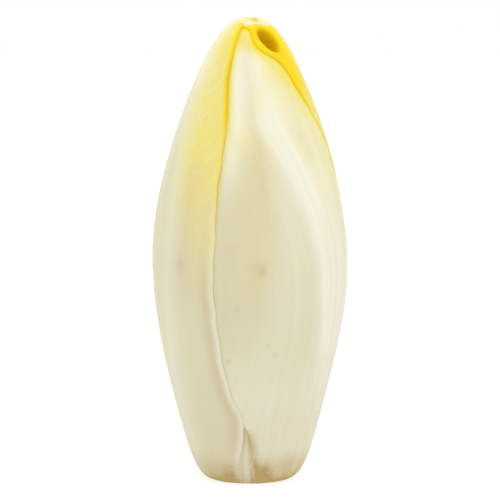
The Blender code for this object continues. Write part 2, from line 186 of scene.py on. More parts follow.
# The heart bud, as in the part.
HEART_BOTTOM = 39.6
HEART_TOP = 113.0
HEART_CLEARANCE = 0.5
HEART_BOTTOM_GIRTH = 0.35
HEART_TOP_FULLNESS = 0.2
HEART_SWELL = 0.3
HEART_TAPER = 0.4
HEART_FOLDS = 5
HEART_FOLD_TWIST = 150.0
HEART_FOLD_DEPTH = 0.8
HEART_CAP = 0.4
HEART_SIDES = 120
HEART_ROWS = 110
HEART_YELLOW_HEIGHTS = (50.0, 90.0)
HEART_VEIN = 0.5
HEART_INSIDE = 3.0

# The foot of a broken leaf: it fills the opening up to its top, which is torn.
STUB_CLEARANCE = -1.3
STUB_HEIGHT = 19.2
STUB_DEPTH = 0.42
STUB_LEAN = 0.12
STUB_THICKNESS = 1.7
STUB_TOP_THICKNESS = 0.75
STUB_COLUMNS = 24
STUB_ROWS = 36

# The stub's torn top: (depth of the notches as a share of its height, waves across it, phase).
STUB_TEARS = ((0.02, 9.0, 0.5), (0.01, 31.0, 0.0))

# The stub's paint: brown all over, more on its right part, in one stripe, by the cut and towards its top.
STUB_BROWN = 0.12
STUB_RIGHT_BROWN = 0.42
STUB_RIGHT_PART = (0.5, 0.75)
STUB_STRIPE_BROWN = 0.25
STUB_STRIPE_PLACE = 0.2
STUB_STRIPE_WIDTH = 0.1
STUB_CUT_BROWN = 0.3
STUB_CUT_HEIGHT = 1.3
STUB_LOW_BROWN = 0.25
STUB_LOW_HEIGHTS = (0.0, 6.0)
STUB_TOP_BROWN = 0.3
STUB_TOP_HEIGHTS = (10.0, 16.0)
STUB_WHITE = 0.4
STUB_DULL = 0.35

# Mesh fineness. Margins get columns of their own at these distances from the edge, for rounding.
OUTER_COLUMNS = 150
OUTER_ROWS = 200
OUTER_TIP_ROWS = 36
OUTER_TIP_HEIGHT = 4.5
CLOSING_ROWS = 10
FOOT_ROW = 0.25
LEAST_THICKNESS = 0.04
INNER_COLUMNS = 44
INNER_ROWS = 70
MARGIN_DISTANCES = (0.0, 0.03, 0.08, 0.15, 0.22, 0.4, 0.7)
MARGIN_ROUNDING = 0.21
NARROWEST_ARC = 2.6
TIP_ROUNDING = 2.2
TIP_POINTEDNESS = 0.985
SMOOTH_ANGLE = 55.0

# Waves of a margin: (amplitude, length along the head, phase step from one leaf to the next).
MARGIN_WAVES = ((0.20, 27.0, 1.7), (0.11, 10.3, 4.1), (0.05, 4.3, 2.9))
RIGHT_MARGIN_STEP = 0.5
WAVE_FADE = 12.0

# Slow unevenness of the skin: (height, waves round the head, length of a wave along it, phase).
UNEVEN = (
    (0.10, 9.0, 61.0, 0.4),
    (0.07, 15.0, 39.0, 2.1),
    (0.05, 24.0, 83.0, 4.0),
    (0.03, 41.0, 127.0, 1.1),
)
UNEVEN_FADE = 30.0

# Camera: it stands before the head and a little above its middle, as in the photograph.
CAMERA_DISTANCE = 650.0
CAMERA_HEIGHT = 148.0
AIM = (0.0, 0.0, 69.1)
LENS = 155.6
SENSOR = 36.0
NEAREST = 0.01
FURTHEST = 50.0


def smoothstep(x):
    x = np.clip(x, 0.0, 1.0)
    return x * x * (3.0 - 2.0 * x)


def bell(distance, width):
    return np.exp(-(distance / width) ** 2)


def profile_polynomial():
    """Radius squared over the height left to the tip is smooth, so a low polynomial follows it."""
    heights, radii = np.array(PROFILE).T
    return np.polyfit(heights / LENGTH, radii ** 2 / (LENGTH - heights), PROFILE_DEGREE)


PROFILE_POLYNOMIAL = profile_polynomial()


def head_radius(z):
    """Radius of the head's outer form at height z."""
    z = np.asarray(z, float)
    squared = np.polyval(PROFILE_POLYNOMIAL, z / LENGTH) * (LENGTH - z)
    return np.sqrt(np.maximum(squared, 0.0)) - CUT_ROUNDING * np.exp(-z / CUT_ROUNDING_HEIGHT)


def centre_height(z):
    """Height of the point on the axis that layers at height z shrink towards."""
    rise = np.clip((np.asarray(z, float) - TIP_CENTRE_START) / (LENGTH - TIP_CENTRE_START), 0.0, 1.0)
    return z - TIP_CENTRE_LAG * rise ** 2


def path_slopes(heights, angles):
    """Slopes for a smooth path that doesn't swing past its points: harmonic means of the secants."""
    secants = np.diff(angles) / np.diff(heights)
    below = secants[:-1]
    above = secants[1:]
    same_way = below * above > 0.0
    total = np.where(same_way, below + above, 1.0)
    inside = np.where(same_way, 2.0 * below * above / total, 0.0)
    return np.concatenate([secants[:1], inside, secants[-1:]])


def run_per_height(z):
    """Length of the head's curve per unit of height."""
    low = head_radius(np.maximum(z - SLOPE_STEP, 0.0))
    high = head_radius(np.minimum(z + SLOPE_STEP, LENGTH))
    return np.hypot(1.0, (high - low) / (2.0 * SLOPE_STEP))


def head_run():
    """Heights from the cut to the tip, and the length of the head's curve up to each."""
    z = LENGTH * (1.0 - np.linspace(1.0, 0.0, CURVE_SAMPLES) ** 2)
    return z, np.concatenate([[0.0], np.cumsum(np.hypot(np.diff(z), np.diff(head_radius(z))))])


HEAD_HEIGHTS, HEAD_RUN = head_run()


def along_path(points, z):
    """Angle at height z on a path through points (height, angle), as a smooth cubic."""
    heights, angles = np.array(points).T
    slopes = path_slopes(heights, angles)
    z = np.clip(z, heights[0], heights[-1])
    i = np.clip(np.searchsorted(heights, z, side="right") - 1, 0, len(heights) - 2)
    span = heights[i + 1] - heights[i]
    t = (z - heights[i]) / span
    start = angles[i] + slopes[i] * span * t
    end = angles[i + 1] - slopes[i + 1] * span * (1.0 - t)
    return start + (end - start) * smoothstep(t)


def turn_between(angle, other):
    """Signed turn from one angle to another, between -180 and 180."""
    return (np.asarray(angle) - other + 180.0) % 360.0 - 180.0


class Leaf:
    """One leaf as a patch of the head: its margins, its two ends, its thickness and its ribs."""

    def __init__(self, name, left, right, thickness, ribs=(), extra_gap=0.0, step_width=OUTER_STEP_WIDTH,
                 waves=0.0, rounding=TIP_ROUNDING):
        self.name = name
        self.left = left
        self.right = right
        self.base = left[0][0]
        self.tip = left[-1][0]
        self.thickness = thickness
        self.ribs = ribs
        self.gap = GAP + extra_gap
        self.step_width = step_width
        self.waves = waves
        self.rounding = rounding

    def wave(self, z, side):
        """How far a margin strays from its path, in degrees."""
        away = np.zeros_like(z)
        for amplitude, length, phase in MARGIN_WAVES:
            turn = phase * (self.waves + side)
            away = away + amplitude * np.sin(2.0 * math.pi * z / length + turn)
        fade = smoothstep((self.tip - z) / WAVE_FADE) * smoothstep((z - self.base) / WAVE_FADE)
        return np.degrees(away * fade * np.sign(self.waves) / head_radius(z))

    def middle_and_half(self, z):
        left = along_path(self.left, z) + self.wave(z, 0.0)
        right = along_path(self.right, z) + self.wave(z, RIGHT_MARGIN_STEP)
        closing = np.clip((z - self.tip + self.rounding) / TIP_ROUNDING, 0.0, 1.0) * TIP_POINTEDNESS
        return (left + right) / 2.0, (right - left) / 2.0 * np.sqrt(1.0 - closing ** 2)

    def thick(self, angle, z):
        """Thickness: full along the middle, thin at the margins, at the tip and, less so, at the base."""
        middle, half = self.middle_and_half(z)
        u = np.clip(np.abs(turn_between(angle, middle)) / half, 0.0, 1.0)
        up = np.clip((z - self.base) / (self.tip - self.base), 0.0, 1.0)
        from_base = smoothstep((z - self.base) / BASE_THICKENING_HEIGHT)
        base = BASE_THICKNESS_SHARE + (1.0 - BASE_THICKNESS_SHARE) * from_base
        tip = 1.0 - (1.0 - TIP_THICKNESS_SHARE) * smoothstep((up - TIP_THINNING_FROM) / TIP_THINNING_OVER)
        return EDGE_THICKNESS + (self.thickness - EDGE_THICKNESS) * base * tip * (1.0 - u ** 2)

    def reach(self, angle, z):
        """How far inside the leaf's outline a place lies: from its nearest margin, base or tip."""
        middle, half = self.middle_and_half(z)
        inside = head_radius(z) * np.radians(half - np.abs(turn_between(angle, middle)))
        above_base = z - self.base if self.base > 0.0 else np.full_like(z, LENGTH)
        below_tip = (self.tip - z) * run_per_height(z)
        return np.minimum(inside, np.minimum(above_base, below_tip))

    def thinned(self, reach):
        """How much thinner than the solid the leaf is near its margins, a share of the most."""
        return HUG_THINNING * (1.0 - smoothstep(reach / HUG_REACH))

    def room(self, angle, z, hugging=False):
        """Depth that this leaf takes from the leaves below it, fading out just beyond its margins."""
        reach = self.reach(angle, z)
        gap = self.gap * (1.0 + TIP_LOOSENESS * smoothstep((z - TIP_LOOSE_FROM) / TIP_LOOSE_OVER))
        if not hugging:
            return (SKIN + self.thick(angle, z) + gap) * smoothstep(1.0 + reach / self.step_width)
        near = 1.0 - smoothstep(reach / HUG_REACH)
        gap = gap * (1.0 - near) - HUG_CLOSENESS * near
        depth = SKIN + self.thick(angle, z) - self.thinned(reach) + gap
        return depth * smoothstep(1.0 + reach / HUG_STEP_WIDTH)

    def rib_height(self, angle, z):
        """Ribs and grooves of the outer face, as height above the skin."""
        total = np.zeros_like(z)
        for path, height, half_width in self.ribs:
            away = head_radius(z) * np.radians(turn_between(angle, along_path(path, z)))
            ends = smoothstep((z - path[0][0]) / RIB_FADE) * smoothstep((path[-1][0] - z) / RIB_FADE)
            total = total + height * ends * bell(away, half_width)
        return np.clip(total, -SKIN, SKIN)


def outer_leaves():
    return [
        Leaf("outer_leaf_left", LEFT_LEAF_LEFT, LEFT_LEAF_RIGHT, LEFT_LEAF_THICKNESS, LEFT_LEAF_RIBS,
             LEFT_LEAF_EXTRA_GAP, waves=1.0),
        Leaf("outer_leaf_back", BACK_LEAF_LEFT, BACK_LEAF_RIGHT, BACK_LEAF_THICKNESS, BACK_LEAF_RIBS,
             BACK_LEAF_EXTRA_GAP, waves=2.0, rounding=0.0),
        Leaf("outer_leaf_front", FRONT_LEAF_LEFT, FRONT_LEAF_RIGHT, FRONT_LEAF_THICKNESS, FRONT_LEAF_RIBS,
             FRONT_LEAF_EXTRA_GAP, waves=3.0),
    ]


def inner_leaf(number):
    base = INNER_FIRST_BASE + INNER_BASE_STEP * number
    tip = INNER_FIRST_TIP + INNER_TIP_STEP * number
    middle = INNER_FIRST_ANGLE + SPIRAL * number
    outline = [(base + up * (tip - base), INNER_HALF_ANGLE * width) for up, width in INNER_OUTLINE]
    left = [(height, middle - half) for height, half in outline]
    right = [(height, middle + half) for height, half in outline]
    thickness = INNER_THICKNESS + INNER_THICKNESS_STEP * number
    return Leaf(f"inner_leaf_{number + 1}", left, right, thickness, extra_gap=INNER_EXTRA_GAP,
                step_width=INNER_STEP_WIDTH, waves=4.0 + number)


def fold_distance(angle, z):
    """Distance from the middle of the hollow in the back leaf's folded tip: 1 on its slanted oval."""
    across = head_radius(z) * np.radians(turn_between(angle, FOLD_ANGLE))
    up = (z - FOLD_HEIGHT) * run_per_height(FOLD_HEIGHT)
    slant = math.radians(FOLD_SLANT)
    long_way = across * math.cos(slant) - up * math.sin(slant)
    short_way = across * math.sin(slant) + up * math.cos(slant)
    return np.hypot(long_way / FOLD_HALF_LENGTH, short_way / FOLD_HALF_WIDTH)


def fold_share(angle, z):
    """How far into the hollow a place lies: 0 outside its rim, 1 on its floor."""
    return smoothstep((FOLD_RIM - fold_distance(angle, z)) / FOLD_WALL)


def depth_below(leaves, angle, z, hugging=False):
    """Depth of a surface that lies below all of these leaves."""
    total = np.zeros(np.broadcast(angle, z).shape)
    for leaf in leaves:
        total = total + leaf.room(angle, z, hugging)
    if leaves:
        extra = FOLD_EXTRA_DEPTH * np.maximum(1.0 - total / FOLD_EXTRA_FADE, 0.0)
        total = total + (FOLD_DEPTH + extra) * fold_share(angle, z)
    return total


def place(angle, z, depth):
    """A point of the head at an angle and height, sunk by depth towards the head's own centre line."""
    radius = head_radius(z)
    centre = centre_height(z)
    left = 1.0 - depth / np.hypot(radius, z - centre)
    turn = np.radians(angle)
    return np.stack([radius * left * np.sin(turn), -radius * left * np.cos(turn),
                     centre + (z - centre) * left], axis=-1)


def stem_radius(z):
    """Radius of the root stem: a cone that flares at the cut."""
    z = np.asarray(z, float)
    return STEM_RADIUS - STEM_TAPER * z + STEM_FLARE * np.exp(-(z / STEM_FLARE_HEIGHT) ** 2)


def uneven(angle, z):
    """Slow swells and hollows of a grown skin, out along the surface."""
    total = np.zeros_like(z)
    for height, around, length, phase in UNEVEN:
        total = total + height * np.sin(np.radians(around * angle) + phase) * np.cos(
            2.0 * math.pi * z / length + 2.0 * phase)
    return total


def fine_rows(leaf, count, tip_count):
    """Heights of a leaf's rows, even along the head's curve, with extra ones where the tip is rounded."""
    low, high = np.interp([leaf.base, leaf.tip], HEAD_HEIGHTS, HEAD_RUN)
    even = np.interp(np.linspace(low, high, count + 1), HEAD_RUN, HEAD_HEIGHTS)
    closing = leaf.tip - TIP_ROUNDING * (1.0 - np.sin(np.linspace(0.0, math.pi / 2.0, CLOSING_ROWS)))
    foot = np.array([leaf.base + FOOT_ROW * FOOT_HEIGHT, leaf.base + FOOT_HEIGHT])
    near_tip = leaf.tip - np.linspace(0.0, OUTER_TIP_HEIGHT, tip_count)
    rows = np.unique(np.round(np.concatenate([even, closing, foot, near_tip]), 3))
    rows[0] = leaf.base
    rows[-1] = leaf.tip
    return rows


def fine_columns(leaf, z, count):
    """Angles of a leaf's columns in each row: close together at both margins, and even between them."""
    middle, half = leaf.middle_and_half(z)
    arc = head_radius(z) * np.radians(half)
    near = np.array(MARGIN_DISTANCES)[None, :] * np.minimum(arc / NARROWEST_ARC, 1.0)
    edge = 1.0 - near / arc
    inner = edge[:, -1:] * np.linspace(-1.0, 1.0, count + 1)[None, 1:-1]
    return middle + half * np.concatenate([-edge, inner, edge[:, ::-1]], axis=1)


def edge_rounding(inside):
    """How far both faces of a leaf draw in at this distance from its margin, so that the edge is round."""
    reach = np.clip(inside / MARGIN_ROUNDING, 0.0, 1.0)
    return MARGIN_ROUNDING * (1.0 - np.sqrt(1.0 - (1.0 - reach) ** 2))


def leaf_faces(columns, rows):
    """Faces of a closed leaf: outer grid, inner grid, and the strip that joins them all round."""
    wide = columns + 1
    inner = wide * (rows + 1)
    j, i = np.mgrid[0:rows, 0:columns]
    a = (j * wide + i).ravel()
    outer_grid = np.stack([a, a + 1, a + 1 + wide, a + wide], axis=1)
    rim = list(range(wide))
    rim += [j * wide + columns for j in range(1, rows + 1)]
    rim += [rows * wide + i for i in range(columns - 1, -1, -1)]
    rim += [j * wide for j in range(rows - 1, 0, -1)]
    rim = np.array(rim)
    after = np.roll(rim, -1)
    strip = np.stack([after, rim, rim + inner, after + inner], axis=1)
    return np.concatenate([outer_grid, outer_grid[:, ::-1] + inner, strip]).tolist()


def add_piece(name, points, faces, places=None, paints=None, marks=None):
    """A mesh piece, with the values that its skin material reads at each of its points."""
    mesh = bpy.data.meshes.new(name)
    mesh.from_pydata((points * MM).tolist(), [], faces)
    mesh.validate()
    mesh.shade_smooth()
    mesh.set_sharp_from_angle(angle=math.radians(SMOOTH_ANGLE))
    for key, values in (("place", places), ("paint", paints), ("marks", marks)):
        if values is not None:
            layer = mesh.attributes.new(key, "FLOAT_VECTOR", "POINT")
            layer.data.foreach_set("vector", np.asarray(values, np.float32).ravel())
    piece = bpy.data.objects.new(name, mesh)
    bpy.context.scene.collection.objects.link(piece)
    return piece


def add_leaf(name, angle, z, top, under, places, shares):
    """A closed leaf between two depths, with its skin coordinates and its shares of paint on both faces."""
    points = np.concatenate([place(angle, z, depth).reshape(-1, 3) for depth in (top, under)])
    yellow, white, brown, gold, dull, vein = shares
    paints = np.clip(np.stack([yellow, white, brown], axis=-1), 0.0, 1.0)
    marks = np.stack([gold, dull, vein], axis=-1)
    values = [np.tile(layer.reshape(-1, 3), (2, 1)) for layer in (places, paints, marks)]
    return add_piece(name, points, leaf_faces(angle.shape[1] - 1, angle.shape[0] - 1), *values)


# Paint of the outer leaves, kind by kind, and the low relief of their lips. A scale is the angle, or one of
# those that scale_of knows. Limits come in pairs: a share grows over the first pair and fades over the
# second, and NO leaves that end open.
NO = None

# Stripes: (kind, scale, strength, middle, half width, heights where it comes, heights where it goes).
LEFT_STRIPES = (
    ("white", "left rib", 0.12, 0, 5),
    ("white", "left rib", 0.18, 0, 5, NO, (84, 110)),
    # Painted highlight on the lip along the right margin, below the top.
    ("white", "right margin", 0.5, 0.7, 0.9, NO, (84, 110)),
    ("brown", "right margin", 0.42, 3.4, 3, NO, (2.5, 8.5)),
    # High up along the right margin, brown and deep yellow: partly the margin's own colour, partly painted
    # shade of the crease where it lies over the front leaf.
    ("brown", "right margin", 0.06, 0, 0.8, (70, 90)),
    ("brown", "right margin", 0.12, 0, 0.8, (96, 112)),
    ("gold", "right margin", 0.315, 0, 1.1, (72, 90)),
    ("gold", "right margin", 0.585, 0, 1.1, (98, 111)),
    # Painted shade in the shallow valley inside the lip of the right margin, low down.
    ("dull", "right margin", 0.7, 3.1, 1.7, (6, 16), (56, 76)),
    ("dull", "angle", 0.4, -41, 9, (50, 64), (90, 104)),
    ("faded", "angle", 0.22, -27, 7, NO, (86, 98)),
    ("lip", "right margin", 0.16, 0.75, 0.5, (4, 16), (122, 134)),
    ("lip", "right margin", -0.30, 3, 1.4, (4, 16), (122, 134)),
)
BACK_STRIPES = (
    ("white", "back rib", 0.5, 0, 6, NO, (108, 120)),
    ("edge gold", "left margin", 0.9, 0, 1.2, (106, 116)),
    ("lip", "left margin", 0.42, 0.9, 0.7, (100, 116), (134.6, 138.6)),
    ("lip", "left margin", -0.15, 2.4, 0.8, (100, 116), (134.6, 138.6)),
    ("lip", "hollow", 0.4, FOLD_RIM + 0.15, 0.2),
)
FRONT_STRIPES = (
    ("yellow", "back leaf", 0.55, 0, 6, (62, 102)),
    ("yellow", "back leaf", 0.4, 0, 3.6, (112, 122)),
    # Yellow on the front leaf just right of the left leaf's margin: painted light that comes through the thin
    # margin.
    ("yellow", "left leaf", 0.45, 1, 1.6, (90, 110)),
    ("yellow", "angle", 0.24, 5, 13, (50, 74), (100, 112)),
    ("yellow", "angle", -0.07, 60, 14, NO, (7, 11)),
    ("yellow", "tip blush", 0.22, 0, 12, (92, 104)),
    ("white", "ridge", 0.7, 0, 5.6, (30, 70)),
    ("white", "left leaf", 0.5, 3, 3.2, (80, 100)),
    # Painted light: the front leaf's upper right is whiter, as the light falls there more.
    ("white", "angle", 0.45, 60, 16, (84, 96), (108, 118)),
    ("white", "angle", 0.35, 22, 20, (36, 56)),
    ("brown", "left margin", 0.45, 0.4, 0.9, NO, (16, 19)),
    ("brown", "left margin", 0.36, 2.2, 2.6, NO, (4.5, 8)),
    ("brown", "angle", -0.04, 60, 14, NO, (7, 11)),
    ("ragged", "angle", 0.3, 24, 16),
    # Brown and deep yellow on the front leaf beside the margins of the left and back leaves: painted shade of
    # the creases under them.
    ("brown", "left leaf", 0.072, 0, 0.7, (70, 90)),
    ("brown", "left leaf", 0.144, 0, 0.7, (96, 112)),
    ("gold", "back leaf", 0.9, 0, 1.1, (88, 102)),
    ("gold", "left leaf", 0.385, 0, 0.9, (72, 90)),
    ("gold", "left leaf", 0.715, 0, 0.9, (98, 111)),
    # Painted shade along the groove.
    ("dull", "groove", 0.3, 0, 2.2, (62, 102)),
    ("dull", "left margin", 0.4, 1, 1.4, NO, (16, 19)),
    ("dull", "angle", 0.32, 4, 12, (44, 58), (94, 110)),
    ("dull", "angle", 0.22, 66, 20, (22, 38), (76, 90)),
    # Painted shade on the front leaf beside the left leaf's margin.
    ("dull", "left leaf", 0.12, 2.5, 4, (34, 48), (80, 96)),
)

# Fields: (kind, scale, strength, scale where it comes, where it goes, heights where it comes, where it goes).
BASE_FIELDS = (
    # Brown low down: partly the leaves' own browning, partly painted shade at the foot.
    ("brown", "angle", 0.24, NO, NO, NO, (5, 11)),
    ("dull", "angle", 0.10, NO, NO),
    ("dull", "angle", 0.30, NO, NO, NO, (4, 44)),
)
LEFT_FIELDS = BASE_FIELDS + (
    # Painted highlight on the left leaf's upper left: its yellow goes and white comes in, more so towards the
    # top.
    ("bleached", "angle", 0.6, (-130, -100), (-72, -28), (86, 120)),
    ("pale", "angle", 0.4, NO, (-72, -28), (86, 120)),
    ("paler", "angle", 1, NO, NO, (116, 126)),
    ("gold", "angle", 0.25, (-60, -30), NO, (120, 132)),
    ("vein", "angle", 0.35, NO, NO, (58, 80)),
    ("yellow vein", "angle", 0.65, NO, NO, (58, 80)),
)
BACK_FIELDS = BASE_FIELDS + (
    ("crown", "angle", 1, NO, NO, (108, 120)),
    # Painted highlight on the forward face of the back leaf's tip: it loses its yellow and gold and turns
    # white.
    ("bleached", "forward", 0.6, (-1, 2), NO, (136.4, 137.6)),
    ("white", "forward", 0.8, (-1, 2), NO, (136.4, 137.6)),
    ("white", "angle", 0.4, NO, (90, 130), NO, (108, 120)),
    ("gold", "from front", 0.9, NO, (30, 64), (108, 120)),
    ("gold", "from front", -0.5, NO, (30, 64), (108, 120), (110, 118)),
    ("gold loss", "forward", 0.9, (-1, 2), NO, (136.4, 137.6)),
    ("vein", "angle", 0.3, NO, NO, (60, 82), (108, 120)),
    ("yellow vein", "angle", 0.7, NO, NO, (60, 82), (108, 120)),
    ("lip", "angle", -0.3, NO, NO, (139.2, 139.9)),
)
FRONT_FIELDS = BASE_FIELDS + (
    ("yellow", "beyond ridge", 0.26, (0, 14), NO, (62, 102)),
    ("yellow", "angle", 0.10, NO, NO, (100, 125)),
    ("yellow", "angle", 0.14, NO, NO, NO, (7, 11)),
    ("white", "beyond ridge", 0.95, (-16, 4), NO, (20, 50), (74, 104)),
    ("white", "angle", 0.45, NO, NO, NO, (26, 52)),
    ("white", "angle", 0.35, NO, NO, (96, 116)),
    ("white loss", "angle", 0.5, (54, 98), NO),
    ("brown", "angle", 0.08, NO, NO, NO, (7, 11)),
    # Painted shade: the deep yellow arch over the front leaf's tip, under the rolled margins of the left and
    # back leaves, darker still where it goes past 1.
    ("gold", "angle", 1.2, NO, NO, (135.5, 136.1)),
    ("vein", "angle", 0.1, NO, NO, (66, 86)),
    ("vein", "beyond ridge", 0.6, (0, 14), NO, (66, 86)),
)

# Spots: (kind, strength, (angle, height), radius).
LEFT_SPOTS = (
    ("brown", 0.20, (-44.2, 67.2), 2.2),
    ("brown", 0.15, (-18.9, 2.6), 1.1),
)
BACK_SPOTS = (
    ("brown", 0.45, (20, 139), 1.3),
    ("deep gold", 0.8, (20, 139), 1.3),
)
FRONT_SPOTS = (
    ("white", 0.3, (-8, 104), 9),
    ("brown", 0.25, (15, 5.4), 1.3),
    ("brown", 0.15, (13, 2.6), 1.7),
    ("brown", 0.12, (7, 66.3), 1),
    ("brown", 0.22, (6.2, 67.2), 2.2),
    ("brown", 0.25, (-14.1, 39.2), 0.8),
    ("brown", 0.16, (40, 6.3), 2.4),
    ("dull", 0.3, (-10.2, 72.6), 1.8),
    ("dull", 0.5, (-7.5, 55), 0.8),
    ("dull", 0.5, (15.9, 41.3), 0.8),
)

PAINT_TABLES = {
    "outer_leaf_left": (LEFT_STRIPES, LEFT_FIELDS, LEFT_SPOTS),
    "outer_leaf_back": (BACK_STRIPES, BACK_FIELDS, BACK_SPOTS),
    "outer_leaf_front": (FRONT_STRIPES, FRONT_FIELDS, FRONT_SPOTS),
}

# Paths of (height, angle) that serve as scales: the distance from them, to the right, in millimetres.
SCALE_PATHS = {
    "left leaf": LEFT_LEAF_RIGHT,
    "back leaf": BACK_LEAF_LEFT,
    "left rib": LEFT_LEAF_RIBS[0][0],
    "back rib": BACK_LEAF_RIBS[2][0],
    "ridge": FRONT_LEAF_RIBS[0][0],
    "groove": FRONT_LEAF_RIBS[1][0],
}
SPINES = {"outer_leaf_left": "left rib", "outer_leaf_back": "back rib", "outer_leaf_front": "ridge"}
MARGIN_SIDES = {"left margin": -1.0, "right margin": 1.0}

# The yellow blush of the front leaf follows an angle that shifts to the right towards the tip.
BLUSH_ANGLE = -4.0
BLUSH_SHIFT = 22.0
BLUSH_SHIFT_HEIGHTS = (108.0, 124.0)

# Yellow of the thin blades: (strength, heights where it comes, reach from the margins low down, high up).
OUTER_BLADES = {
    "outer_leaf_left": (0.92, (40.0, 106.0), 5.0, 20.0),
    "outer_leaf_back": (1.0, (52.0, 104.0), 4.0, 20.0),
}
INNER_BLADE = (1.0, (46.0, 104.0), 5.0, 20.0)
BLADE_EDGE = (0.4, 1.2)

# The cut's brown, partly the cut's own browning and partly painted shade at the foot: its height, and the
# waves of its ragged edge: (height, waves per radian, phase).
CUT_BROWN_HEIGHT = 2.1
CUT_BROWN_WAVES = ((0.5, 7.0, 0.6), (0.3, 17.0, 2.0))

# The most that the white adds up to, and the angle that the crown's gold faces.
WHITE_MOST = 1.2
CROWN_FRONT = 25.0

# The hollow: gold that starts at its rim, and painted shade, a darker gold, that is deepest in its middle and
# on its left.
FOLDED_LEAF = "outer_leaf_back"
HOLLOW_EDGE = (FOLD_RIM - 0.2, FOLD_RIM)
HOLLOW_RIM_GOLD = 0.4
HOLLOW_CORE_GOLD_AND_SHADE = 0.95
HOLLOW_RIGHT_ANGLES = (40.0, 52.0)
HOLLOW_RIGHT_LOSS = 0.6

# Inner leaves: yellow towards the tip, brownish where they leave the stem.
INNER_YELLOW_HEIGHTS = (108.0, 124.0)
INNER_WHITE = 0.3
INNER_BASE_BROWN = 0.7
INNER_BASE_HEIGHT = 1.6
INNER_VEIN_HEIGHTS = (60.0, 82.0)


def between(value, comes=NO, goes=NO):
    """1 where a value is past the first pair of limits and not yet at the second, with soft ends."""
    share = 1.0 if comes is NO else smoothstep((value - comes[0]) / (comes[1] - comes[0]))
    return share if goes is NO else share * smoothstep((goes[1] - value) / (goes[1] - goes[0]))


def distance_from(angle, z, other):
    """Distance along the skin from another angle at the same height, to the right."""
    return head_radius(z) * np.radians(turn_between(angle, other))


def from_side(leaf, angle, z, side):
    """Distance in from a leaf's left (-1) or right (1) margin."""
    middle, half = leaf.middle_and_half(z)
    return head_radius(z) * np.radians(half - side * turn_between(angle, middle))


def scale_of(name, leaf, angle, z):
    """Where a place lies on one of the scales that the paint tables name."""
    if name in MARGIN_SIDES:
        return from_side(leaf, angle, z, MARGIN_SIDES[name])
    if name in SCALE_PATHS:
        return distance_from(angle, z, along_path(SCALE_PATHS[name], z))
    if name == "hollow":
        return fold_distance(angle, z)
    if name == "forward":
        return head_radius(z) * np.cos(np.radians(angle))
    if name == "from front":
        return np.abs(turn_between(angle, CROWN_FRONT))
    if name == "beyond ridge":
        return angle - along_path(SCALE_PATHS["ridge"], z)
    if name == "tip blush":
        return angle - BLUSH_ANGLE - BLUSH_SHIFT * between(z, BLUSH_SHIFT_HEIGHTS)
    return angle


def table_share(leaf, kind, angle, z):
    """The sum of a leaf's stripes, fields and spots of one kind."""
    stripes, fields, spots = PAINT_TABLES[leaf.name]
    total = np.zeros_like(z)
    for row_kind, scale, strength, middle, width, *heights in stripes:
        if row_kind == kind:
            away = scale_of(scale, leaf, angle, z) - middle
            total = total + strength * bell(away, width) * between(z, *heights)
    for row_kind, scale, strength, starts, ends, *heights in fields:
        if row_kind == kind:
            share = between(scale_of(scale, leaf, angle, z), starts, ends)
            total = total + strength * share * between(z, *heights)
    for row_kind, strength, (spot_angle, spot_height), radius in spots:
        if row_kind == kind:
            up = (z - spot_height) * run_per_height(z)
            total = total + strength * bell(np.hypot(distance_from(angle, z, spot_angle), up), radius)
    return total


def blade_yellow(leaf, angle, z, strength, heights, low_reach, high_reach):
    """Yellow of the thin blade: it begins at a height, and further up it reaches in from both margins."""
    up = between(z, heights)
    reach = low_reach + (high_reach - low_reach) * up
    inside = np.minimum(from_side(leaf, angle, z, -1.0), from_side(leaf, angle, z, 1.0))
    return strength * up * (1.0 - between(inside / reach, BLADE_EDGE))


def cut_brown_and_shade(angle, z):
    """Brown of the air-dried cut and painted shade at the foot, ragged along its upper edge."""
    height = CUT_BROWN_HEIGHT
    for rag, waves, phase in CUT_BROWN_WAVES:
        height = height + rag * np.sin(np.radians(angle) * waves + phase)
    return np.exp(-z / height)


def hollow_gold_and_shade(angle, z):
    distance = fold_distance(angle, z)
    core = bell(distance, 1.0) * (1.0 - HOLLOW_RIGHT_LOSS * between(angle, HOLLOW_RIGHT_ANGLES))
    return between(distance, NO, HOLLOW_EDGE) * (HOLLOW_RIM_GOLD + HOLLOW_CORE_GOLD_AND_SHADE * core)


def paint_outer(leaf, angle, z):
    """Shares of yellow, white, brown, gold, dull and veined at each place of an outer leaf."""
    def share(kind):
        return table_share(leaf, kind, angle, z)

    yellow = share("yellow")
    if leaf.name in OUTER_BLADES:
        yellow = yellow + blade_yellow(leaf, angle, z, *OUTER_BLADES[leaf.name])
    # Painted highlights take the yellow out of the left leaf's upper left and the back leaf's tip, and add
    # white there.
    yellow = np.maximum(yellow, share("crown")) * (1.0 - share("bleached")) * (1.0 - share("faded"))
    white = share("white") + share("pale") * (1.0 + share("paler"))
    white = np.minimum(white, WHITE_MOST) * (1.0 - share("white loss"))
    brown = share("brown") + cut_brown_and_shade(angle, z) * (1.0 + share("ragged"))
    gold = np.minimum(np.maximum(share("gold"), share("edge gold")), 1.0)
    gold = gold * (1.0 - share("gold loss")) + share("deep gold")
    # The hollow adds gold past 1 on its floor, where it is painted shade.
    if leaf.name == FOLDED_LEAF:
        gold = gold + hollow_gold_and_shade(angle, z)
    return yellow, white, brown, gold, share("dull"), share("vein") + share("yellow vein") * yellow


def paint_inner(leaf, angle, z):
    zero = np.zeros_like(z)
    yellow = np.maximum(blade_yellow(leaf, angle, z, *INNER_BLADE), between(z, INNER_YELLOW_HEIGHTS))
    brown = INNER_BASE_BROWN * np.exp(-(z - leaf.base) / INNER_BASE_HEIGHT)
    return yellow, zero + INNER_WHITE, brown, zero, zero, between(z, INNER_VEIN_HEIGHTS)


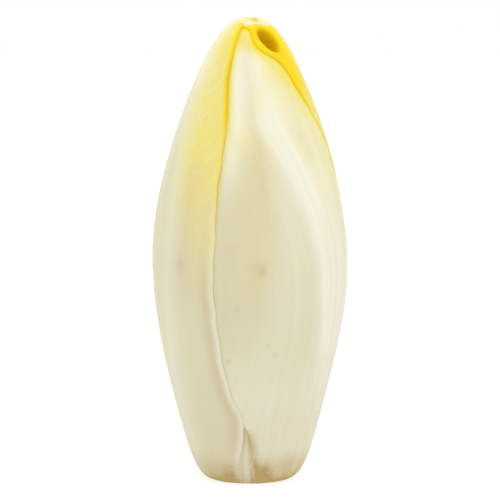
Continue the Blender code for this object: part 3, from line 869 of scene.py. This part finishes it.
def leaf_places(leaf, angle, z):
    """Skin coordinates: across from the leaf's spine, along the head from its base, in from the margin."""
    middle, _ = leaf.middle_and_half(z)
    spine = along_path(SCALE_PATHS[SPINES[leaf.name]], z) if leaf.name in SPINES else middle
    along = np.interp(z, HEAD_HEIGHTS, HEAD_RUN)
    inside = np.maximum(leaf.reach(angle, z), 0.0)
    return np.stack([distance_from(angle, z, spine), along, inside], axis=-1)


def build_leaf(leaf, covering, columns, rows, footed):
    """A fine closed leaf in the place of the part's one, with round margins and the skin's own relief."""
    outer = leaf.name in PAINT_TABLES
    z = fine_rows(leaf, rows, OUTER_TIP_ROWS if outer else 0)[:, None]
    angle = fine_columns(leaf, z, columns)
    z = np.broadcast_to(z, angle.shape)
    skin_depth = depth_below(covering, angle, z, outer) + SKIN
    inner_depth = skin_depth + leaf.thick(angle, z)
    if outer:
        inner_depth = inner_depth - leaf.thinned(leaf.reach(angle, z))
    relief = leaf.rib_height(angle, z)
    if outer:
        swell = uneven(angle, z) * smoothstep((LENGTH - z) / UNEVEN_FADE)
        relief = relief + swell + table_share(leaf, "lip", angle, z)
        inner_depth = inner_depth - swell
    rounding = edge_rounding(leaf.reach(angle, z))
    top = skin_depth - relief + rounding
    under = np.maximum(inner_depth if outer else inner_depth - rounding, top + LEAST_THICKNESS)
    if footed:
        to_stem = head_radius(leaf.base) - stem_radius(leaf.base) - GAP
        rise = 1.0 - smoothstep((z - leaf.base) / FOOT_HEIGHT)
        under = under + np.maximum(to_stem - under, 0.0) * rise
    shares = paint_outer(leaf, angle, z) if outer else paint_inner(leaf, angle, z)
    return add_leaf(leaf.name + "_skin", angle, z, top, under, leaf_places(leaf, angle, z), shares)


def ring_points(radius, turn, z):
    """Points at a radius and height, turned from the front towards the right."""
    return np.stack(np.broadcast_arrays(radius * np.sin(turn), -radius * np.cos(turn), z), axis=-1)


def turned_faces(around, rows):
    """Faces of a closed turned body: rings of points, with a point below and a point above them."""
    faces = []
    for j in range(rows - 1):
        for i in range(around):
            a = j * around + i
            b = j * around + (i + 1) % around
            faces.append((a, b, b + around, a + around))
    bottom = around * rows
    last = around * (rows - 1)
    for i in range(around):
        k = (i + 1) % around
        faces.append((k, i, bottom))
        faces.append((last + i, last + k, bottom + 1))
    return faces


def build_stem():
    """The root stem, with a slightly rounded rim at the cut and faint growth rings on its face."""
    face = np.linspace(CUT_MIDDLE, 1.0, CUT_RINGS)
    side = np.linspace(0.0, 1.0, STEM_ROWS + 1)[1:]
    height = STEM_HEIGHT * side
    near_top = np.clip((height - STEM_HEIGHT + STEM_ROUND_TOP) / STEM_ROUND_TOP, 0.0, 1.0)
    rim = stem_radius(0.0)
    radius = np.concatenate([face * (rim - CUT_RIM), stem_radius(height) - STEM_ROUND_DEPTH * near_top ** 2])
    waves = 1.0 - CUT_WAVE_SHARE + CUT_WAVE_SHARE * np.cos(face * CUT_WAVES)
    hollow = CUT_HOLLOW * (1.0 - face ** CUT_HOLLOW_POWER) * waves
    z = np.concatenate([hollow, height])
    turn = np.linspace(0.0, 2.0 * math.pi, STEM_SIDES, endpoint=False)
    rings = ring_points(radius[:, None], turn, z[:, None])
    points = np.concatenate([rings.reshape(-1, 3), [[0.0, 0.0, z[0]], [0.0, 0.0, STEM_HEIGHT]]])
    return add_piece("root_stem_core", points, turned_faces(STEM_SIDES, len(z)))


def build_heart(leaves):
    """The bud of smallest leaves above the stem, whose rolled edges show as spiral folds."""
    share = np.linspace(0.0, 1.0, HEART_ROWS + 1)[:, None]
    angle = np.linspace(0.0, 360.0, HEART_SIDES, endpoint=False)[None, :]
    share, angle = np.broadcast_arrays(share, angle)
    z = HEART_BOTTOM + (HEART_TOP - HEART_BOTTOM) * share
    swell = smoothstep(share / HEART_SWELL) * smoothstep((1.0 - share) / HEART_TAPER + HEART_TOP_FULLNESS)
    girth = HEART_BOTTOM_GIRTH + (1.0 - HEART_BOTTOM_GIRTH) * swell
    fold = np.sin(np.radians(HEART_FOLDS * angle + HEART_FOLD_TWIST * share)) - 1.0
    free = place(angle, z, depth_below(leaves, angle, z) + HEART_CLEARANCE)
    radius = (np.hypot(free[..., 0], free[..., 1]) + HEART_FOLD_DEPTH / 2.0 * fold) * girth
    rings = ring_points(radius, np.radians(angle), free[..., 2])
    ends = np.array([[0.0, 0.0, HEART_BOTTOM], [0.0, 0.0, rings[-1, :, 2].max() + HEART_CAP]])
    points = np.concatenate([rings.reshape(-1, 3), ends])
    high = between(points[:, 2], HEART_YELLOW_HEIGHTS)
    zero = np.zeros_like(high)
    places = np.stack([points[:, 0], points[:, 2], zero + HEART_INSIDE], axis=-1)
    paints = np.stack([high, zero + INNER_WHITE, zero], axis=-1)
    marks = np.stack([zero, zero, HEART_VEIN * high], axis=-1)
    faces = turned_faces(HEART_SIDES, HEART_ROWS + 1)
    return add_piece("heart_bud_skin", points, faces, places, paints, marks)


def build_stub():
    """The foot of a leaf that was broken off, with a torn, browned top, in the opening at the base."""
    across = np.linspace(0.0, 1.0, STUB_COLUMNS + 1)[None, :]
    torn = np.ones_like(across)
    for notch, waves, phase in STUB_TEARS:
        torn = torn - notch * np.abs(np.sin(across * waves + phase))
    z = STUB_HEIGHT * torn * np.linspace(0.0, 1.0, STUB_ROWS + 1)[:, None]
    left = along_path(LEFT_LEAF_RIGHT, z) + STUB_CLEARANCE
    right = along_path(FRONT_LEAF_LEFT, z) - STUB_CLEARANCE
    angle = left + (right - left) * across
    arc = head_radius(z) * np.radians(right - left)
    inside = np.minimum(np.minimum(across, 1.0 - across) * arc, STUB_HEIGHT * torn - z)
    rounding = edge_rounding(inside)
    up = z / STUB_HEIGHT
    depth = STUB_DEPTH + STUB_LEAN * up
    under = depth + STUB_THICKNESS + (STUB_TOP_THICKNESS - STUB_THICKNESS) * up - rounding
    depth = depth + rounding
    zero = np.zeros_like(z)
    brown = STUB_BROWN + STUB_RIGHT_BROWN * between(across, STUB_RIGHT_PART)
    brown = brown + STUB_STRIPE_BROWN * bell(across - STUB_STRIPE_PLACE, STUB_STRIPE_WIDTH)
    brown = brown + STUB_CUT_BROWN * np.exp(-z / STUB_CUT_HEIGHT)
    brown = brown + STUB_LOW_BROWN * between(z, NO, STUB_LOW_HEIGHTS)
    brown = brown + STUB_TOP_BROWN * between(z, STUB_TOP_HEIGHTS)
    places = np.stack([across * arc, z, inside], axis=-1)
    shares = (zero, zero + STUB_WHITE, brown, zero, zero + STUB_DULL, zero)
    return add_leaf("broken_leaf_foot_skin", angle, z, depth, under, places, shares)


# Colours, linear.
CREAM = (0.66, 0.63, 0.42, 1.0)
WHITE = (0.835, 0.83, 0.71, 1.0)
YELLOW = (0.80, 0.69, 0.13, 1.0)
VEIN_PALE = (0.88, 0.85, 0.52, 1.0)
# The deep yellow is the leaves' own, and is also painted shade in the creases beside overlapping margins.
DEEP_YELLOW_AND_CREVICE_SHADE = (0.83, 0.62, 0.005, 1.0)
# The dark gold is painted shade on the hollow's floor and over the front leaf's tip, and also the back leaf's
# own dark tip spot.
DARK_GOLD_AND_SHADE = (0.50, 0.25, 0.002, 1.0)
# The dull tone is partly the skin's own, partly painted shade in creases, valleys and grooves.
DULL_TONE_AND_SHADE = (0.60, 0.50, 0.33, 1.0)
BROWN = (0.44, 0.30, 0.10, 1.0)
SPECK = (0.45, 0.36, 0.18, 1.0)
PITH = (0.78, 0.72, 0.52, 1.0)
PITH_RING = (0.60, 0.50, 0.30, 1.0)
PAPER = (0.22, 0.22, 0.22, 1.0)
PAPER_TOOTH = (0.20, 0.20, 0.20, 1.0)
PAPER_LIGHT = (1.0, 1.0, 1.0, 1.0)
PAPER_GLOW = 0.8

# Noises, with coordinates in millimetres on the leaves and in metres elsewhere: (scale, detail, roughness).
SLOW_NOISE = (0.09, 2.0, 0.5)
FINE_NOISE = (0.9, 3.0, 0.6)
GROOVE_NOISE = (1.5, 3.0, 0.62)
BAND_NOISE = (0.33, 2.0, 0.5)
BEND_NOISE = (0.12, 2.0, 0.5)
BREAK_NOISE = (0.26, 2.0, 0.5)
RARE_NOISE = (0.05, 1.0, 0.5)
PITH_NOISE = (900.0, 3.0, 0.6)
PAPER_NOISE = (40.0, 2.0, 0.5)

# Grooves and bands are drawn out along the leaf, and each pattern has a layer of the noise to itself.
GROOVE_STRETCH = 0.035
GROOVE_LAYER = 3.0
BAND_STRETCH = 0.05
BAND_LAYER = 7.0
BREAK_LAYER = 11.0

# Side veins: they rise from the spine at a bend that flattens outwards, and a net lies between them.
VEIN_SPACING = 3.4
VEIN_RISE = 1.6
VEIN_FLATTENING = 0.85
VEIN_BEND = 9.0
NET_SCALE = 0.30
NET_STRENGTH = 0.3
VEIN_STRENGTH = 0.22

# Rare small specks.
DOT_SCALE = 0.16
DOT_STRENGTH = 0.3

# Eased steps: (from, to), which give 0 and 1, or (from, to, what the first gives, what the second gives).
VEIN_LINE = (0.15, 0.95)
NET_LINE = (0.02, 0.16)
VEIN_BREAKS = (0.36, 0.60, 0.15, 1.0)
BAND_CONTRAST = (0.25, 0.75, 0.82, 1.12)
BLOTCH_CONTRAST = (0.3, 0.7, 0.82, 1.12)
DULL_GRAIN = (0.2, 0.8, 0.6, 1.0)
BROWN_GRAIN = (0.25, 0.75, 0.8, 1.16)
GROOVE_SHADE = (0.3, 0.7)
SHADE_BY_GOLD = (0.0, 1.0, 0.09, 0.0)
GLOSS_BY_GOLD = (0.0, 1.0, 0.3, 0.0)
DOT_EDGE = (0.02, 0.07)
DOT_PLACES = (0.56, 0.66)
DEPTH_BY_MARGIN = (0.4, 2.4, 0.0, 0.3)
RING_LINE = (0.0002, 0.0011, 0.15, 0.55)
RIM_STAIN = (0.0070, 0.0100)
CUT_STAIN = (0.0, 0.0045, 0.75, 0.05)
STAIN_GRAIN = (0.3, 0.7, 0.7, 1.2)
PITH_ROUGHNESS = (0.2, 0.8, 0.5, 0.72)
PAPER_ROUGHNESS = (0.0, 1.0, 0.75, 0.85)

# Leaf surface: shares of bands and grooves in the shade, ceiling of the brown, roughness, relief, depth.
BAND_SHARE = 0.5
BROWN_MOST = 0.95
LEAF_ROUGHNESS = 0.34
GRAIN_ROUGHNESS = 0.14
BROWN_ROUGHNESS = 0.25
GROOVE_RELIEF = 0.35
VEIN_RELIEF = 0.35
GRAIN_RELIEF = 0.12
LEAF_RELIEF = 0.0001
LEAF_DEPTH_RADIUS = (1.0, 0.75, 0.35)
LEAF_DEPTH_SCALE = 0.0004

# Pith surface: wobble and spacing of its rings, its stain, relief and depth.
RING_WOBBLE = 0.0007
RING_SPACING = 0.0012
RIM_SHARE = 0.5
STAIN_SHARE = 0.35
PITH_GRAIN_RELIEF = 0.6
PITH_RELIEF = 0.0002
PITH_DEPTH = 0.15
PITH_DEPTH_RADIUS = (1.0, 0.7, 0.4)
PITH_DEPTH_SCALE = 0.001

# Sockets of a mix node of colours: its share and its two colours, and its result.
MIX_INPUTS = (0, 6, 7)
MIX_RESULT = 2


class Skin:
    """A material under construction. Each method adds a node and returns its output."""

    def __init__(self, name):
        self.material = bpy.data.materials.new(name)
        self.material.use_nodes = True
        self.tree = self.material.node_tree
        self.shader = self.tree.nodes["Principled BSDF"]

    def feed(self, socket, value):
        if isinstance(value, bpy.types.NodeSocket):
            self.tree.links.new(value, socket)
        else:
            socket.default_value = value

    def surface(self, name, value):
        self.feed(self.shader.inputs[name], value)

    def attribute(self, name):
        node = self.tree.nodes.new("ShaderNodeAttribute")
        node.attribute_name = name
        return self.parts(node.outputs["Vector"])

    def position(self):
        node = self.tree.nodes.new("ShaderNodeTexCoord")
        return node.outputs["Object"]

    def parts(self, vector):
        node = self.tree.nodes.new("ShaderNodeSeparateXYZ")
        self.feed(node.inputs[0], vector)
        return node.outputs[0], node.outputs[1], node.outputs[2]

    def joined(self, x, y, z):
        node = self.tree.nodes.new("ShaderNodeCombineXYZ")
        for socket, value in zip(node.inputs, (x, y, z)):
            self.feed(socket, value)
        return node.outputs[0]

    def math(self, operation, *values):
        node = self.tree.nodes.new("ShaderNodeMath")
        node.operation = operation
        for socket, value in zip(node.inputs, values):
            self.feed(socket, value)
        return node.outputs[0]

    def ease(self, value, low, high, start=0.0, end=1.0):
        node = self.tree.nodes.new("ShaderNodeMapRange")
        node.interpolation_type = "SMOOTHSTEP"
        for socket, number in zip(node.inputs, (value, low, high, start, end)):
            self.feed(socket, number)
        return node.outputs[0]

    def mix(self, share, first, second):
        node = self.tree.nodes.new("ShaderNodeMix")
        node.data_type = "RGBA"
        for socket, value in zip(MIX_INPUTS, (share, first, second)):
            self.feed(node.inputs[socket], value)
        return node.outputs[MIX_RESULT]

    def noise(self, where, scale, detail, roughness):
        node = self.tree.nodes.new("ShaderNodeTexNoise")
        self.feed(node.inputs["Vector"], where)
        self.feed(node.inputs["Scale"], scale)
        self.feed(node.inputs["Detail"], detail)
        self.feed(node.inputs["Roughness"], roughness)
        return node.outputs["Fac"]

    def cells(self, where, scale, feature="DISTANCE_TO_EDGE"):
        node = self.tree.nodes.new("ShaderNodeTexVoronoi")
        node.feature = feature
        self.feed(node.inputs["Vector"], where)
        self.feed(node.inputs["Scale"], scale)
        return node.outputs["Distance"]

    def times(self, first, second):
        return self.math("MULTIPLY", first, second)

    def inverse(self, value):
        return self.math("SUBTRACT", 1.0, value)

    def bump(self, height, distance):
        node = self.tree.nodes.new("ShaderNodeBump")
        self.feed(node.inputs["Height"], height)
        node.inputs["Distance"].default_value = distance
        node.inputs["Strength"].default_value = 1.0
        self.surface("Normal", node.outputs[0])


def leaf_material(name):
    """Waxy leaf skin: cream, white ribs, yellow blade, pale veins, fine grooves, browned places, painted
    shade and highlights.
    """
    skin = Skin(name)
    across, along, inside = skin.attribute("place")
    yellow, white, brown = skin.attribute("paint")
    gold, dull, vein_share = skin.attribute("marks")
    flat = skin.joined(across, along, 0.0)
    slow = skin.noise(flat, *SLOW_NOISE)
    fine = skin.noise(flat, *FINE_NOISE)
    long_way = skin.times(along, GROOVE_STRETCH)
    grooves = skin.noise(skin.joined(across, long_way, GROOVE_LAYER), *GROOVE_NOISE)
    long_way = skin.times(along, BAND_STRETCH)
    bands = skin.noise(skin.joined(across, long_way, BAND_LAYER), *BAND_NOISE)

    side = skin.math("ABSOLUTE", across)
    bent = skin.math("MULTIPLY_ADD", skin.noise(flat, *BEND_NOISE), VEIN_BEND, along)
    rise = skin.times(skin.math("POWER", side, VEIN_FLATTENING), VEIN_RISE)
    pinnate = skin.math("PINGPONG", skin.math("SUBTRACT", bent, rise), VEIN_SPACING)
    main_veins = skin.inverse(skin.ease(pinnate, *VEIN_LINE))
    net_cells = skin.cells(skin.joined(across, along, fine), NET_SCALE)
    net = skin.inverse(skin.ease(net_cells, *NET_LINE))
    breaks = skin.noise(skin.joined(across, along, BREAK_LAYER), *BREAK_NOISE)
    main_veins = skin.times(main_veins, skin.ease(breaks, *VEIN_BREAKS))
    vein = skin.math("MAXIMUM", main_veins, skin.times(net, NET_STRENGTH))
    vein = skin.times(vein, vein_share)

    whiteness = skin.times(white, skin.ease(bands, *BAND_CONTRAST))
    colour = skin.mix(whiteness, CREAM, WHITE)
    blotch = skin.times(yellow, skin.ease(slow, *BLOTCH_CONTRAST))
    colour = skin.mix(skin.math("MINIMUM", blotch, 1.0), colour, YELLOW)
    colour = skin.mix(skin.times(vein, VEIN_STRENGTH), colour, VEIN_PALE)
    # Dull: partly the skin's own tone, partly painted shade in creases, valleys and grooves.
    colour = skin.mix(skin.times(dull, skin.ease(fine, *DULL_GRAIN)), colour, DULL_TONE_AND_SHADE)
    # Deep yellow: the leaves' own, and painted shade in the creases beside overlapping margins.
    colour = skin.mix(skin.math("MINIMUM", gold, 1.0), colour, DEEP_YELLOW_AND_CREVICE_SHADE)
    # Past 1, the gold share darkens to the dark gold: painted shade on the hollow's floor and over the front
    # leaf's tip, and the back leaf's dark tip spot.
    deeper = skin.math("MAXIMUM", skin.math("SUBTRACT", gold, 1.0), 0.0)
    colour = skin.mix(deeper, colour, DARK_GOLD_AND_SHADE)
    ridges = skin.times(grooves, 1.0 - BAND_SHARE)
    shade = skin.ease(skin.math("MULTIPLY_ADD", bands, BAND_SHARE, ridges), *GROOVE_SHADE)
    shading = skin.times(skin.inverse(shade), skin.ease(gold, *SHADE_BY_GOLD))
    colour = skin.mix(shading, colour, DULL_TONE_AND_SHADE)
    rough_brown = skin.times(brown, skin.ease(fine, *BROWN_GRAIN))
    colour = skin.mix(skin.math("MINIMUM", rough_brown, BROWN_MOST), colour, BROWN)
    dots = skin.inverse(skin.ease(skin.cells(flat, DOT_SCALE, "F1"), *DOT_EDGE))
    rare = skin.ease(skin.noise(flat, *RARE_NOISE), *DOT_PLACES)
    speckled = skin.times(skin.times(dots, rare), DOT_STRENGTH)
    skin.surface("Base Color", skin.mix(speckled, colour, SPECK))

    worn = skin.math("MULTIPLY_ADD", fine, GRAIN_ROUGHNESS, LEAF_ROUGHNESS)
    skin.surface("Roughness", skin.math("MULTIPLY_ADD", rough_brown, BROWN_ROUGHNESS, worn))
    relief = skin.math("MULTIPLY_ADD", grooves, GROOVE_RELIEF, skin.times(vein, VEIN_RELIEF))
    skin.bump(skin.math("MULTIPLY_ADD", fine, GRAIN_RELIEF, relief), LEAF_RELIEF)
    skin.surface("Subsurface Weight", skin.ease(inside, *DEPTH_BY_MARGIN))
    skin.shader.inputs["Subsurface Radius"].default_value = LEAF_DEPTH_RADIUS
    skin.shader.inputs["Subsurface Scale"].default_value = LEAF_DEPTH_SCALE
    skin.surface("Specular IOR Level", skin.ease(gold, *GLOSS_BY_GOLD))
    return skin.material


def stem_material():
    """Cut pith: rings and rays round the axis, browner towards the rim and by the cut."""
    skin = Skin("root_pith")
    where = skin.position()
    x, y, z = skin.parts(where)
    squared = skin.math("ADD", skin.times(x, x), skin.times(y, y))
    from_axis = skin.math("SQRT", squared)
    grain = skin.noise(where, *PITH_NOISE)
    wobble = skin.math("MULTIPLY_ADD", grain, RING_WOBBLE, from_axis)
    ring_share = skin.ease(skin.math("PINGPONG", wobble, RING_SPACING), *RING_LINE)
    colour = skin.mix(ring_share, PITH, PITH_RING)
    rim = skin.times(skin.ease(wobble, *RIM_STAIN), RIM_SHARE)
    stain = skin.times(skin.math("ADD", rim, STAIN_SHARE), skin.ease(z, *CUT_STAIN))
    stain = skin.times(stain, skin.ease(grain, *STAIN_GRAIN))
    skin.surface("Base Color", skin.mix(stain, colour, BROWN))
    skin.surface("Roughness", skin.ease(grain, *PITH_ROUGHNESS))
    skin.bump(skin.math("MULTIPLY_ADD", grain, PITH_GRAIN_RELIEF, ring_share), PITH_RELIEF)
    skin.shader.inputs["Subsurface Weight"].default_value = PITH_DEPTH
    skin.shader.inputs["Subsurface Radius"].default_value = PITH_DEPTH_RADIUS
    skin.shader.inputs["Subsurface Scale"].default_value = PITH_DEPTH_SCALE
    return skin.material


def floor_material():
    """Plain white paper on a light table, with a trace of tooth."""
    skin = Skin("white_paper")
    grain = skin.noise(skin.position(), *PAPER_NOISE)
    skin.surface("Base Color", skin.mix(grain, PAPER, PAPER_TOOTH))
    skin.surface("Roughness", skin.ease(grain, *PAPER_ROUGHNESS))
    skin.shader.inputs["Emission Color"].default_value = PAPER_LIGHT
    skin.shader.inputs["Emission Strength"].default_value = PAPER_GLOW
    return skin.material


# Stage, lights and camera, in metres.
FLOOR_RADIUS = 4.0
FLOOR_SIDES = 96
WORLD_COLOUR = (1.0, 1.0, 1.0, 1.0)
WORLD_STRENGTH = 1.0

# (name, place, size, watts): all look at the middle of the head.
LIGHTS = (
    ("top_softbox", (0.0, -0.1, 1.2), 0.7, 3.2),
    ("left_softbox", (-0.85, 0.25, 0.45), 0.6, 0.25),
    ("right_softbox", (0.85, 0.25, 0.45), 0.6, 0.15),
    ("front_softbox", (0.3, -0.5, 1.2), 0.6, 0.9),
)


def build_floor():
    turn = np.linspace(0.0, 2.0 * math.pi, FLOOR_SIDES, endpoint=False)
    rim = np.stack([np.cos(turn), np.sin(turn), np.zeros(FLOOR_SIDES)], axis=-1) * FLOOR_RADIUS / MM
    floor = add_piece("studio_floor", rim, [list(range(FLOOR_SIDES))])
    floor.data.materials.append(floor_material())
    return floor


def look_at_middle(thing, where):
    thing.location = where
    thing.rotation_euler = (Vector(AIM) * MM - thing.location).to_track_quat("-Z", "Y").to_euler()
    bpy.context.scene.collection.objects.link(thing)


def add_lights():
    for name, spot_place, size, watts in LIGHTS:
        light = bpy.data.lights.new(name, "AREA")
        light.shape = "DISK"
        light.size = size
        light.energy = watts
        look_at_middle(bpy.data.objects.new(name, light), spot_place)


def add_world():
    world = bpy.data.worlds.new("studio_white")
    world.use_nodes = True
    background = world.node_tree.nodes["Background"]
    background.inputs["Color"].default_value = WORLD_COLOUR
    background.inputs["Strength"].default_value = WORLD_STRENGTH
    bpy.context.scene.world = world


def add_camera():
    data = bpy.data.cameras.new("camera")
    data.lens = LENS
    data.sensor_width = SENSOR
    data.clip_start = NEAREST
    data.clip_end = FURTHEST
    camera = bpy.data.objects.new("camera", data)
    look_at_middle(camera, Vector((0.0, -CAMERA_DISTANCE, CAMERA_HEIGHT)) * MM)
    bpy.context.scene.camera = camera


def set_colours():
    view = bpy.context.scene.view_settings
    view.view_transform = "Standard"
    view.look = "None"
    view.exposure = 0.0
    view.gamma = 1.0


def stand_for(piece, node, material):
    """The piece rides with the object, takes a node's place, and gets its material."""
    piece.data.materials.append(material)
    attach(piece, "root")
    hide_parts(node)


def main():
    outer = outer_leaves()
    leaves = outer + [inner_leaf(number) for number in range(INNER_LEAVES)]
    outer_skin = leaf_material("outer_leaf_skin")
    inner_skin = leaf_material("inner_leaf_skin")
    for i, leaf in enumerate(leaves):
        if leaf in outer:
            piece = build_leaf(leaf, leaves[:i], OUTER_COLUMNS, OUTER_ROWS, leaf is outer[-1])
            stand_for(piece, leaf.name, outer_skin)
        else:
            piece = build_leaf(leaf, leaves[:i], INNER_COLUMNS, INNER_ROWS, True)
            stand_for(piece, leaf.name, inner_skin)
    stand_for(build_stub(), "broken_leaf_foot", outer_skin)
    stand_for(build_heart(leaves), "heart_bud", inner_skin)
    stand_for(build_stem(), "root_stem", stem_material())
    build_floor()
    add_lights()
    add_world()
    add_camera()
    set_colours()


main()
